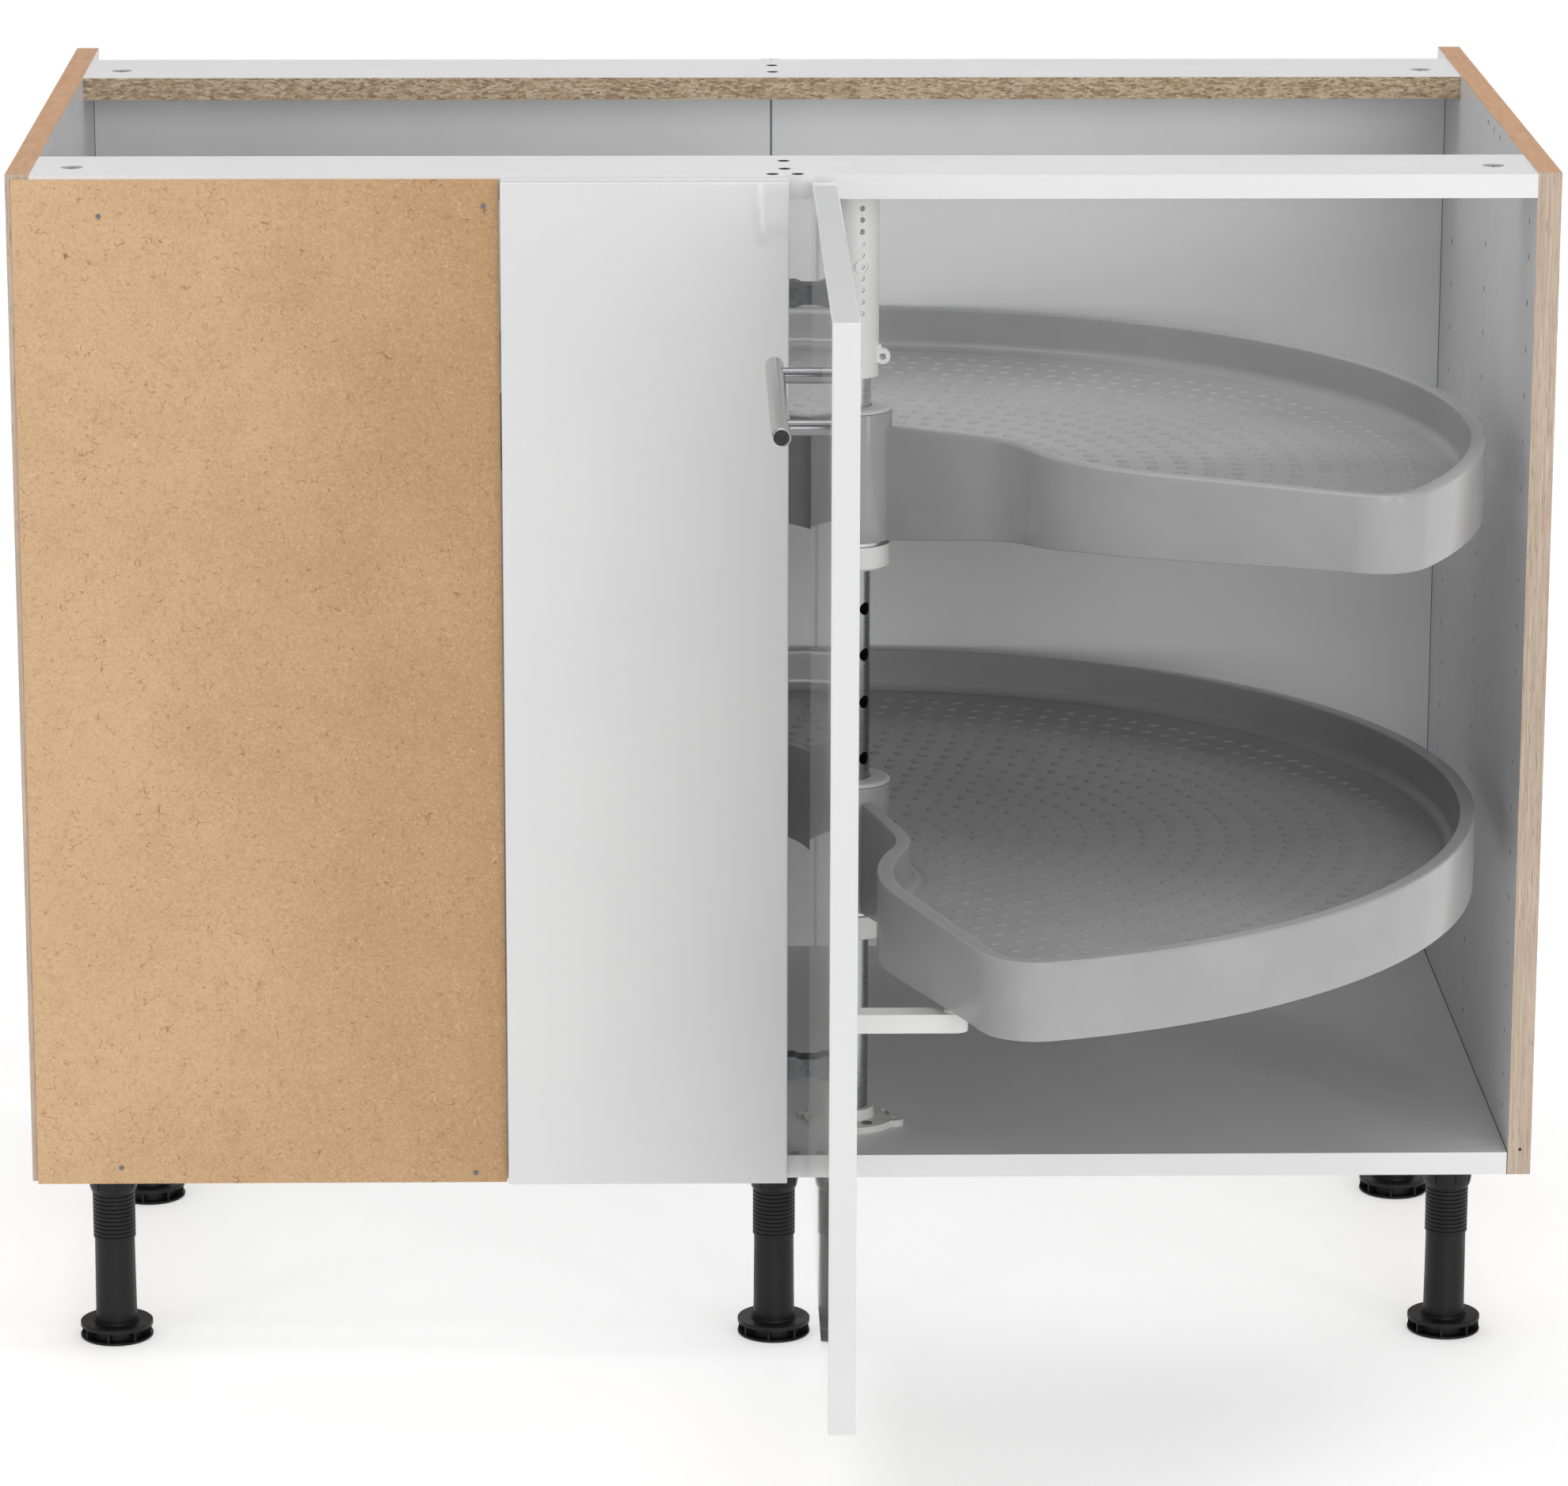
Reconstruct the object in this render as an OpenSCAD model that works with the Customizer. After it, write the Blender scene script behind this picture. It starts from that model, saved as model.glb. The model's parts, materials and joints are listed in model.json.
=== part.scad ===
// Corner carousel cabinet: a blind-corner kitchen base unit with two
// half-moon trays on a vertical post. The door is modelled open at a right
// angle, the lower tray is drawn out with it and the upper one part of the way.
// Millimetres, +Z up, +Y from the front of the unit into its depth.
// The origin is on the floor, under the middle of the whole open unit.

/* [Carcass] */
// Outside width of the carcass
body_w = 1034; // [1030:1:1042]
// Depth of the side panels
body_d = 568; // [560:1:580]
// Height of the carcass without its legs
body_h = 700; // [696:1:712]
// Thickness of the coated boards
board_t = 16; // [15:0.5:18]
// Distance from the front edge to the back panel
back_y = 513; // [511:1:525]
// Depth of the front rail
front_rail_d = 80; // [76:1:88]
// Depth of the rear rail
rear_rail_d = 87; // [78:1:90]

/* [Fronts] */
// Thickness of the door and the filler panel
front_t = 17; // [16:0.5:18]
// Width of the door
door_w = 496; // [490:1:497]
// Height of the door
door_h = 696; // [690:1:697]
// Left edge of the closed door, right of the middle of the unit
door_x = 19; // [18:0.5:21]
// Width of the fixed filler panel
filler_w = 191.5; // [188:0.5:193]
// Right edge of the filler panel
filler_x = 2.4; // [1:0.1:4]
// Height of the filler panel
filler_h = 696; // [690:1:698]
// Thickness of the hardboard blind panel
blind_t = 3; // [2.5:0.5:4]

/* [Carousel] */
// Radius of the round edge of the trays
tray_r = 430; // [420:1:431]
// Distance of the post from the middle of the unit
post_x = 48; // [46:1:50]
// Distance of the post from the front edge
post_y = 78; // [76:1:79]
// Height of the upper tray's rim above the floor
upper_z = 645.5; // [640:0.5:650]
// Height of the lower tray's rim above the floor
lower_z = 383.5; // [380:0.5:385]
// Turn of the upper tray out of the cabinet
upper_turn = 32.5; // [28:0.5:34]
// Turn of the lower tray out of the cabinet
lower_turn = 76; // [75:0.5:77]
// Turn that is left in both trays when the door is shut
closed_turn = 4; // [3.8:0.1:4.2]

/* [Legs] */
// Height of the adjustable legs
leg_h = 130; // [126:1:134]
// Diameter of the foot discs
foot_d = 50.6; // [48:0.1:54]

/* [Handle] */
// Length of the bar handle
handle_l = 220; // [200:1:230]
// Distance between the handle posts
handle_pitch = 160; // [128:1:170]
// Diameter of the handle bar
handle_d = 12; // [10:0.5:13]
// Height of the bar above the door face
handle_out = 29; // [27:0.5:32]

/* [Hidden] */

$fn = 64;
hw = body_w / 2;                  // half the width
iw = hw - board_t;                // half the clear width
z0 = leg_h;                       // underside of the carcass
z1 = leg_h + body_h;              // top of the side panels
rail_z = z1 - 1 - board_t;        // underside of the rails

// turning axis of the door, and its place when shut
shut_y = -2;                      // inner face of the shut door
axis_x = door_x + 5.9;
axis_y = -11.5;
door_z = z0 - 0.5;
free_y = axis_y - (door_w - 5.9); // free edge of the open door
// the whole open unit is centred over the origin
oy = -(body_d + free_y) / 2;

hinge_z = [z0 + 74, z1 - 84.5];   // heights of the two hinges
cup_in = 22.5;                    // hinge cup centre from the door edge

leg_xy = [[-466, 50], [-5.5, 50], [466, 50], [-465, 358], [465, 358]];

// shelf holes: columns at these depths, the rows 32 apart
cols = [[37, 0], [262, 1], [451, 2]];
function rows(k0) = concat([for (k = [k0:18]) z1 - 63 - 32 * k],
                           [z0 + 39], k0 == 0 ? [z1 - 39] : []);

// ---- shared shapes ----

// everything is drawn from the front edge of the carcass, then centred
module unit() { translate([0, oy, 0]) children(); }

// a box between two corners
module span(a, b) { translate(a) cube(b - a); }

// a cylinder along Y, a cylinder along X
module ycyl(r, h) { rotate([-90, 0, 0]) cylinder(r = r, h = h); }
module xcyl(r, h) { rotate([0, 90, 0]) cylinder(r = r, h = h); }

// turns a piece of the shut door to the open door
module open_door() {
    translate([axis_x, axis_y, 0]) rotate([0, 0, -90])
        translate([-axis_x, -axis_y, 0]) children();
}

// ---- carcass boards ----

module side_board(s) {
    difference() {
        span([-board_t / 2, 1, z0], [board_t / 2, body_d, z1]);
        // groove for the back panel
        span([s * board_t / 2 - 8, back_y - 0.1, z0 - 1],
             [s * board_t / 2 + 8, back_y + 3.2, z1 + 1]);
        // shelf holes and the three holes next to the top edge
        for (c = cols, z = rows(c[1]))
            translate([s * (board_t / 2 - 11), c[0], z])
                rotate([0, s * 90, 0]) cylinder(r = 2.5, h = 12, $fn = 24);
        for (k = [0:2])
            translate([s * (board_t / 2 - 11), 200 + 32 * k, z1 - 9])
                rotate([0, s * 90, 0]) cylinder(r = 2.5, h = 12, $fn = 24);
    }
}

module side_left() {
    color("gainsboro") unit()
        translate([-hw + board_t / 2, 0, 0]) side_board(1);
}

module side_right() {
    color("gainsboro") unit()
        translate([hw - board_t / 2, 0, 0]) side_board(-1);
}

// banding on the front edges of the sides
module side_edges() {
    color("burlywood") unit() {
        difference() {
            span([iw, 0, z0], [hw, 1, z1]);
            translate([iw + 8.4, -1, z0 + 18]) ycyl(1.2, 3);
        }
        span([-hw, 0, z0], [-iw, 1, z1]);
    }
}

module bottom_panel() {
    color("whitesmoke") unit() difference() {
        span([-iw, 0, z0], [iw, back_y, z0 + board_t]);
        translate([8, 6, z0 + 4]) cylinder(r = 4.25, h = 20);
        translate([-8, 6, z0 + 4]) cylinder(r = 4.25, h = 20);
    }
}

// seats of the cam fittings near both ends of a rail
module cam_seats(y) {
    for (x = [-475.5, 475.5])
        translate([x, y, rail_z + board_t - 12.5]) cylinder(r = 7.5, h = 20);
}

module front_rail() {
    color("white") unit() difference() {
        span([-iw, 0, rail_z], [iw, front_rail_d, rail_z + board_t]);
        cam_seats(36.5);
        for (y = [27, 59]) translate([0, y, rail_z - 1])
            cylinder(r = 4.2, h = board_t + 2);
        for (x = [-8.4, 8.4]) translate([x, 5.6, rail_z + 3])
            cylinder(r = 4.25, h = board_t);
    }
}

module rear_rail() {
    color("white") unit() difference() {
        span([-iw, back_y - rear_rail_d, rail_z],
             [iw, back_y, rail_z + board_t]);
        cam_seats(462.5);
        for (y = [454, 486]) translate([0, y, rail_z - 1])
            cylinder(r = 4.2, h = board_t + 2);
    }
}

module back_half(s) {
    x0 = s > 0 ? 0.9 : -iw - 7;
    x1 = s > 0 ? iw + 7 : -0.9;
    span([x0, back_y, z0 + 1], [x1, back_y + 3, z1 - 1]);
}

module back_left() { color("whitesmoke") unit() back_half(-1); }
module back_right() { color("whitesmoke") unit() back_half(1); }

// strip that joins the two halves of the back panel
module back_joint() {
    color("darkgray") unit() {
        span([-0.9, back_y - 0.0, z0 + 1], [0.9, back_y + 3, z1 - 1]);
        span([-7, back_y + 3, z0 + 1], [7, back_y + 4.2, z1 - 1]);
    }
}

module blind_panel() {
    color("burlywood") unit() difference() {
        span([-hw + 4, -blind_t, z0 - 1.3],
             [filler_x - filler_w - 1.3, 0, z1 - 3.1]);
        for (p = [[-200.4, z1 - 21], [-211.9, z0 + 5.5], [-455.4, z0 + 10.2],
                  [-455.4, z1 - 27.5]])
            translate([p[0], -blind_t - 1, p[1]]) ycyl(0.9, blind_t + 2);
    }
}

// heads and shanks of the pins that hold the blind panel
module blind_pins() {
    color("dimgray") unit()
        for (p = [[-200.4, z1 - 21], [-211.9, z0 + 5.5], [-455.4, z0 + 10.2],
                  [-455.4, z1 - 27.5]])
            translate([p[0], -blind_t - 0.6, p[1]]) {
                ycyl(1.7, 0.6);
                ycyl(0.9, blind_t + 0.6);
            }
}

module filler_panel() {
    color("white") unit()
        span([filler_x - filler_w, -front_t, z0 + 1.2],
             [filler_x, 0, z0 + 1.2 + filler_h]);
}

// upright behind the filler panel, which carries the hinges
module hinge_stile() {
    color("gainsboro") unit() difference() {
        span([-98, 0, z0 + board_t], [0, board_t, rail_z]);
        for (z = hinge_z, dz = [-16, 16])
            translate([-28, board_t - 12, z + dz]) ycyl(2.5, 20);
    }
}

module cam_fittings() {
    color("silver") unit()
        for (x = [-475.5, 475.5], y = [36.5, 462.5])
            translate([x, y, rail_z + board_t - 12.5]) difference() {
                cylinder(r = 7.4, h = 12);
                // cross slot in the face of the cam
                translate([-4, -0.7, 10]) cube([8, 1.4, 4]);
                translate([-0.7, -4, 10]) cube([1.4, 8, 4]);
            }
}

// ---- legs ----

stem_r = 8;                       // screw stem of the foot
socket_h = 23;                    // collar that holds the tube
sleeve_h = 33.5;                  // ribbed part of the tube

// collar under the bottom panel, with shallow upright grooves
module leg_socket() {
    translate([0, 0, leg_h - socket_h]) difference() {
        rotate_extrude() polygon([[11, 0], [14.9, 0], [15.7, 0.9], [16.4, 3.2],
                                  [16.9, 6.5], [17.9, socket_h - 4],
                                  [18.6, socket_h - 1], [18.6, socket_h],
                                  [11, socket_h]]);
        for (a = [0:45:315]) rotate([0, 0, a + 12])
            translate([16.2, -0.7, 3.5]) cube([4, 1.4, socket_h - 6.5]);
    }
}

module leg_sockets() {
    color("#1c1c1c") unit()
        for (p = leg_xy) translate([p[0], p[1], 0]) leg_socket();
}

// tube of a leg; its ribbed top is pushed into the socket
module leg_tube() {
    zb = leg_h - socket_h - sleeve_h;
    difference() {
        rotate_extrude() polygon(concat(
            [[stem_r + 0.05, 12], [13.8, 12], [14.4, 12.6], [13.9, zb - 0.6],
             [14.75, zb]],
            [for (k = [0:10], q = [[14.75, 1.7], [14.1, 2.2], [14.1, 2.5],
                [14.75, 2.9]]) [q[0], zb + 2.95 * k + q[1]]],
            [[14.75, leg_h - socket_h], [10.9, leg_h - socket_h],
             [10.9, leg_h], [stem_r + 0.05, leg_h]]));
        translate([0, 0, leg_h - 3]) cylinder(r = 9, h = 4);
    }
}

module leg_tubes() {
    color("#232323") unit()
        for (p = leg_xy) translate([p[0], p[1], 0]) leg_tube();
}

// foot disc with open pockets round its side, and its screw stem
module foot(n) {
    fr = foot_d / 2;
    color("#232323") unit() translate([leg_xy[n][0], leg_xy[n][1], 0]) {
        rotate_extrude() polygon(
            [[0, 0], [fr - 0.6, 0], [fr, 0.5], [fr, 1.8], [19, 1.8],
             [19, 8.4], [fr, 8.4], [fr, 10.9], [fr - 0.5, 11.4],
             [15.8, 11.4], [15.6, 13], [14.6, 13], [14.6, 11.4],
             [stem_r, 11.4], [stem_r, 58], [stem_r - 1, 59], [0, 59]]);
        for (a = [0:45:315]) rotate([0, 0, a + 35.5])
            translate([18, -0.7, 1.2]) cube([fr - 18.6, 1.4, 8]);
    }
}

module foot_1() { foot(0); }
module foot_2() { foot(1); }
module foot_3() { foot(2); }
module foot_4() { foot(3); }
module foot_5() { foot(4); }

// ---- post ----

post_r = 12.5;
base_t = 4.6;
hub_r = 27;
hub_up = 10;                      // hub above the rim
hub_down = 79.5;                  // hub below the rim

module at_post() { unit() translate([post_x, post_y, 0]) children(); }

module post_tube() {
    color("darkgray") at_post() difference() {
        translate([0, 0, z0 + board_t + base_t])
            cylinder(r = post_r, h = rail_z - 8 - z0 - board_t - base_t);
        translate([0, 0, z0 + board_t - 1]) cylinder(r = post_r - 1.5, h = body_h);
        // locating holes for the tray collars
        for (z = [517, 484.5, 451, 411]) translate([0, 0, z])
            rotate([0, 90, -45]) cylinder(r = 4.5, h = 30);
    }
}

sleeve_z = z1 - 151;
hole_turn = 18;                   // the row of holes faces the front right
sleeve_r = 17.5;

module post_sleeve() {
    color("whitesmoke") at_post() difference() {
        union() {
            translate([0, 0, sleeve_z]) cylinder(r = sleeve_r, h = rail_z - sleeve_z);
            translate([0, 0, rail_z - 4]) cylinder(r = 26, h = 4);
            // lug of the clamp screw
            translate([20, -7, sleeve_z + 13.5]) ycyl(5.2, 6);
            translate([12, -7, sleeve_z + 9.4]) cube([7, 6, 12]);
            // low ring round the sixth hole
            translate([0, 0, z1 - 34 - 40]) rotate([90, 0, hole_turn]) difference() {
                cylinder(r = 5.2, h = sleeve_r + 0.35);
                cylinder(r = 4.3, h = sleeve_r + 1);
            }
        }
        translate([0, 0, sleeve_z - 1]) cylinder(r = post_r + 0.05, h = rail_z - 7 - sleeve_z);
        translate([20, -9, sleeve_z + 13.5]) ycyl(2.3, 10);
        for (k = [0:9]) translate([0, 0, z1 - 34 - 8 * k])
            rotate([90, 0, hole_turn])
                translate([0, 0, k < 4 ? post_r - 1 : sleeve_r - 1.6])
                    cylinder(r = 1.9, h = 12, $fn = 32);
    }
}

// screw that holds the sleeve at its length
module post_screw() {
    color("silver") at_post() translate([0, 0, z1 - 34 - 24])
        rotate([90, 0, hole_turn]) translate([0, 0, post_r + 0.1]) difference() {
            cylinder(r = 1.85, h = 4.2, $fn = 32);
            translate([-1.2, -0.3, 3.4]) cube([2.4, 0.6, 2]);
            translate([-0.3, -1.2, 3.4]) cube([0.6, 2.4, 2]);
        }
}

base_holes = [[23, -60], [23, 60], [23, 180]];
ear_turn = -16;

module post_base() {
    color("white") at_post() translate([0, 0, z0 + board_t]) difference() {
        union() {
            cylinder(r = 32, h = base_t);
            for (a = [0, 180]) rotate([0, 0, ear_turn + a])
                translate([32.5, 0, 0]) cylinder(r = 6.4, h = base_t);
            translate([0, 0, base_t]) difference() {
                cylinder(r1 = 17.4, r2 = 16.4, h = 7.5);
                translate([0, 0, -1]) cylinder(r = post_r + 0.02, h = 12);
            }
        }
        for (p = base_holes) rotate([0, 0, p[1]]) translate([p[0], 0, -1]) {
            cylinder(r = 2.1, h = base_t + 2, $fn = 32);
            translate([0, 0, base_t - 1.4]) cylinder(r = 3.9, h = 4, $fn = 32);
        }
        for (a = [0, 180]) rotate([0, 0, ear_turn + a])
            translate([32.8, 0, -1]) cylinder(r = 2.6, h = 8, $fn = 32);
        // curved slot for turning the flange while it is fitted
        for (a = [0, 180]) rotate([0, 0, ear_turn + a + 16])
            rotate_extrude(angle = 26) translate([25, -1]) square([3, 8]);
    }
}

module base_screws() {
    color("dimgray") at_post() translate([0, 0, z0 + board_t])
        for (p = base_holes) rotate([0, 0, p[1]]) translate([p[0], 0, 0])
            difference() {
                union() {
                    cylinder(r = 2, h = base_t - 1.4, $fn = 32);
                    translate([0, 0, base_t - 1.4]) cylinder(r = 3.8, h = 1.9, $fn = 32);
                }
                translate([-2, -0.4, base_t - 0.5]) cube([4, 0.8, 2]);
                translate([-0.4, -2, base_t - 0.5]) cube([0.8, 4, 2]);
            }
}

// clamp ring under a hub, with a slot at its back
module collar(rim) {
    translate([0, 0, rim - hub_down - 19.4]) difference() {
        rotate_extrude() polygon([[post_r + 0.02, 0], [24.6, 0], [26, 1.4],
                                  [26, 16.4], [post_r + 0.02, 16.4]]);
        rotate([0, 0, 100]) translate([10, -1, -1]) cube([20, 2, 20]);
    }
}

module lower_collar() { color("white") at_post() collar(lower_z); }
module upper_collar() { color("white") at_post() collar(upper_z); }

// thrust washer between a hub and its collar
module washer(z) {
    translate([0, 0, z]) difference() {
        cylinder(r = 24, h = 2.6);
        translate([0, 0, -1]) cylinder(r = post_r + 0.05, h = 5);
    }
}

module upper_washer() { color("silver") at_post() washer(upper_z - hub_down - 2.8); }
module lower_washer() { color("silver") at_post() washer(lower_z - hub_down - 3); }

// ---- trays ----

wall_x0 = 101;                    // where the front wall starts to step out
step_a = 35;                      // steepest angle of the step
step_r = [75, 157];               // radii of its two bends
wall_a = 5.6;                     // the outer wall falls back by this angle
corner_r = 38;                    // rounding of the front corners
rim_w = 10.5;                     // width of the rim
skin = 2.6;                       // thickness of the skirt
floor_z = 30;                     // depth of the floor under the rim
side_h = 52;                      // height of the round wall

// the two bends of the step
function bend_1(t) = [wall_x0 + step_r[0] * sin(t), -step_r[0] * (1 - cos(t))];
function bend_2(t) = bend_1(step_a)
    + step_r[1] * [sin(t) + sin(step_a), cos(step_a) - cos(t)];
wall_p = bend_2(wall_a);          // where the outer wall starts

// middle of the corner rounding, on the right
cp = wall_p + corner_r * [-sin(wall_a), cos(wall_a)];
cu = [cos(wall_a), sin(wall_a)];
cb = cp * cu;
ct = -cb + sqrt(cb * cb - (cp * cp - pow(tray_r - corner_r, 2)));
cc = cp + ct * cu;
ca = atan2(cc[1], cc[0]);         // where the rounding meets the arc

// right half of the outline, from the hub outwards and round to the back
half_line = concat(
    [for (k = [0:2:8]) [wall_x0 * k / 8, 0]],
    [for (k = [1:6]) bend_1(step_a * k / 6)],
    [for (k = [1:10]) bend_2(-step_a + (step_a + wall_a) * k / 10)],
    [for (k = [1:5]) wall_p + cu * ct * k / 6],
    [for (k = [0:10]) let (a = wall_a - 90 + (ca + 90 - wall_a) * k / 10)
        cc + corner_r * [cos(a), sin(a)]],
    [for (k = [1:32]) let (a = ca + (90 - ca) * k / 32)
        tray_r * [cos(a), sin(a)]]);
hn = len(half_line);
full_line = concat(half_line,
    [for (k = [hn - 2:-1:1]) [-half_line[k][0], half_line[k][1]]]);

// the outline moved inwards by d, square to itself at each point
function inset(d) = let (p = full_line, n = len(p)) [for (i = [0:n - 1])
    let (a = p[(i + n - 1) % n], b = p[(i + 1) % n], t = b - a,
         l = norm(t)) p[i] + d * [-t[1], t[0]] / l];

module outline(d = 0) { polygon(d == 0 ? full_line : inset(d)); }

// lower edge of the deeper front wall, seen from the front
module front_depth() {
    rotate([90, 0, 0]) translate([0, 0, -60]) linear_extrude(120)
        polygon([[-500, 10], [-500, -side_h], [-380, -side_h], [-205, -59],
                 [-27, -hub_down], [27, -hub_down], [205, -59],
                 [380, -side_h], [500, -side_h], [500, 10]]);
}

// one tray has its rim at height zero and its hub at the origin

module hub_space() { translate([0, 0, -100]) cylinder(r = hub_r, h = 130); }

// rim, inner wall and skirt, which is deeper along the front
module tray_wall() {
    difference() {
        union() {
            translate([0, 0, -floor_z - 3]) linear_extrude(floor_z + 3)
                difference() { outline(0); outline(rim_w); }
            intersection() {
                translate([0, 0, -90]) linear_extrude(80)
                    difference() { outline(0); outline(skin); }
                union() {
                    front_depth();
                    translate([-500, 40, -side_h]) cube([1000, 500, side_h]);
                }
            }
        }
        hub_space();
    }
}

module tray_floor() {
    difference() {
        translate([0, 0, -floor_z - 3]) linear_extrude(3) outline(rim_w);
        hub_space();
    }
}

// ribs under the floor
module tray_ribs() {
    difference() {
        for (a = [30:30:150]) rotate([0, 0, a])
            translate([24, -1, -floor_z - 14]) cube([tray_r - 34.2, 2, 11]);
        hub_space();
    }
}

module tray_hub() {
    difference() {
        translate([0, 0, -hub_down]) cylinder(r = hub_r, h = hub_down + hub_up);
        translate([0, 0, -100]) cylinder(r = post_r + 0.05, h = 130);
        // room for the cap
        translate([0, 0, hub_up - 4]) cylinder(r = 21, h = 10);
    }
}

module turned(rim, a) {
    at_post() translate([0, 0, rim]) rotate([0, 0, -a]) children();
}

module upper_tray() {
    color("#8f9092") turned(upper_z, upper_turn) tray_floor();
}
module upper_ribs() {
    color("#8f9092") turned(upper_z, upper_turn) tray_ribs();
}
module upper_wall() {
    color("#8f9092") turned(upper_z, upper_turn) tray_wall();
}
module upper_hub() {
    color("#8f9092") turned(upper_z, upper_turn) tray_hub();
}
module lower_tray() {
    color("#8f9092") turned(lower_z, lower_turn) tray_floor();
}
module lower_ribs() {
    color("#8f9092") turned(lower_z, lower_turn) tray_ribs();
}
module lower_wall() {
    color("#8f9092") turned(lower_z, lower_turn) tray_wall();
}
module lower_hub() {
    color("#8f9092") turned(lower_z, lower_turn) tray_hub();
}

// lighter cap that closes the top of a hub
module cap() {
    difference() {
        union() {
            translate([0, 0, hub_up - 4]) cylinder(r = 20.95, h = 4);
            translate([0, 0, hub_up]) rotate_extrude()
                polygon([[0, 0], [26.9, 0], [26.9, 0.8], [26.1, 1.9], [24.4, 2.7],
                         [20, 3.1], [0, 3.2]]);
        }
        translate([0, 0, 0]) cylinder(r = post_r + 0.3, h = 40);
    }
}

module upper_cap() { color("#b9babc") turned(upper_z, upper_turn) cap(); }
module lower_cap() { color("#b9babc") turned(lower_z, lower_turn) cap(); }

// ---- link between the door and the lower tray ----

arm_z = 311;                      // underside of the driver arm
arm_t = 12.5;
arm_w = 16.4;
arm_y = -243;                     // middle of the arm, on the open door
arm_x = 106.2;                    // middle of its round end
pin_r = 3;
lower_ratio = (lower_turn - closed_turn) / 90;

function turn(p, a) = [p[0] * cos(a) - p[1] * sin(a),
                       p[0] * sin(a) + p[1] * cos(a)];

// where the driver pin is in the tray, when the door has closed by t degrees
function pin_at(t) = turn(
    turn([arm_x - axis_x, arm_y - axis_y], t)
        + [axis_x - post_x, axis_y - post_y],
    lower_turn - lower_ratio * t);

track = [for (t = [-2:4:94]) pin_at(t)];
tn = len(track);
function side_of(i) = let (a = track[max(i - 1, 0)], b = track[min(i + 1, tn - 1)],
    t = (b - a) / norm(b - a)) [-t[1], t[0]];

// band of half width w along the track, with round ends
module band(w) {
    polygon(concat([for (i = [0:tn - 1]) track[i] + w * side_of(i)],
        [for (k = [1:11]) track[tn - 1] + w * turn(side_of(tn - 1), -15 * k)],
        [for (i = [tn - 1:-1:0]) track[i] - w * side_of(i)],
        [for (k = [1:11]) track[0] - w * turn(side_of(0), -15 * k)]));
}

// guide under the lower tray, in which the pin runs
module lower_track() {
    color("#8f9092") turned(lower_z, lower_turn)
        translate([0, 0, -floor_z - 3 - 17]) linear_extrude(17) difference() {
            band(5.6);
            band(pin_r + 0.4);
        }
}

// ---- door, drawn shut and turned open ----

door_hz = door_h / 2;

module door_board() {
    color("white") unit() open_door() difference() {
        span([door_x, shut_y - front_t, door_z],
             [door_x + door_w, shut_y, door_z + door_h]);
        // seats of the hinge cups
        for (z = hinge_z) translate([door_x + cup_in, shut_y - 12.6, z])
            ycyl(17.5, 20);
        // handle screws
        for (x = handle_x) translate([x, shut_y - front_t - 1, handle_z])
            ycyl(2.3, front_t + 2);
    }
}

handle_z = z1 - 81.5;
handle_mid = door_x + 353.5 - 5.9;
handle_x = [handle_mid - handle_pitch / 2, handle_mid + handle_pitch / 2];

module hinge_cups() {
    color("silver") unit() open_door()
        for (z = hinge_z) translate([door_x + cup_in, 0, z]) {
            // cup with a hollow that opens into the cabinet
            difference() {
                translate([0, shut_y - 12.5, 0]) ycyl(17.4, 12.5);
                translate([-13, shut_y - 11, -8]) cube([26, 12, 16]);
            }
            // flange with two screw holes
            difference() {
                translate([0, shut_y, 0]) rotate([-90, 0, 0]) linear_extrude(1.4)
                    difference() {
                        union() {
                            circle(r = 18.8);
                            translate([-4.5, -26]) square([13, 52]);
                            for (y = [-26, 26]) translate([2, y]) circle(r = 6.5);
                        }
                        translate([-13, -8]) square([26, 16]);
                        for (y = [-24, 24]) translate([2, y]) circle(r = 2.3, $fn = 24);
                    }
            }
        }
}

// link that leaves the cup and reaches round the edge of the door
module hinge_links() {
    color("dimgray") unit() open_door()
        for (z = hinge_z) translate([door_x + cup_in, 0, z]) {
            translate([-8, shut_y - 11, -6.4]) cube([12, 16.5, 12.8]);
            translate([-27, shut_y + 2.4, -5.4]) cube([20, 3.1, 10.8]);
        }
}

module cup_screws() {
    color("silver") unit() open_door()
        for (z = hinge_z, dz = [-24, 24])
            translate([door_x + cup_in + 2, 0, z - dz]) difference() {
                union() {
                    translate([0, shut_y + 1.45, 0]) ycyl(3.8, 1.6);
                    translate([0, shut_y + 0.1, 0]) ycyl(2, 1.4);
                }
                translate([-2.4, shut_y + 2.2, -0.4]) cube([4.8, 2, 0.8]);
                translate([-0.4, shut_y + 2.2, -2.4]) cube([0.8, 2, 4.8]);
            }
}

// the fixed side of the hinges, on the stile behind the filler panel
module hinge_plates() {
    color("silver") unit()
        for (z = hinge_z) difference() {
            union() {
                span([-52, board_t, z - 24], [-8, board_t + 2.2, z + 24]);
                span([-50, board_t + 2.2, z - 7.4], [-10, board_t + 7, z + 7.4]);
            }
            for (dz = [-16, 16]) translate([-28, board_t - 1, z + dz])
                ycyl(2.6, 5);
        }
}

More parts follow.
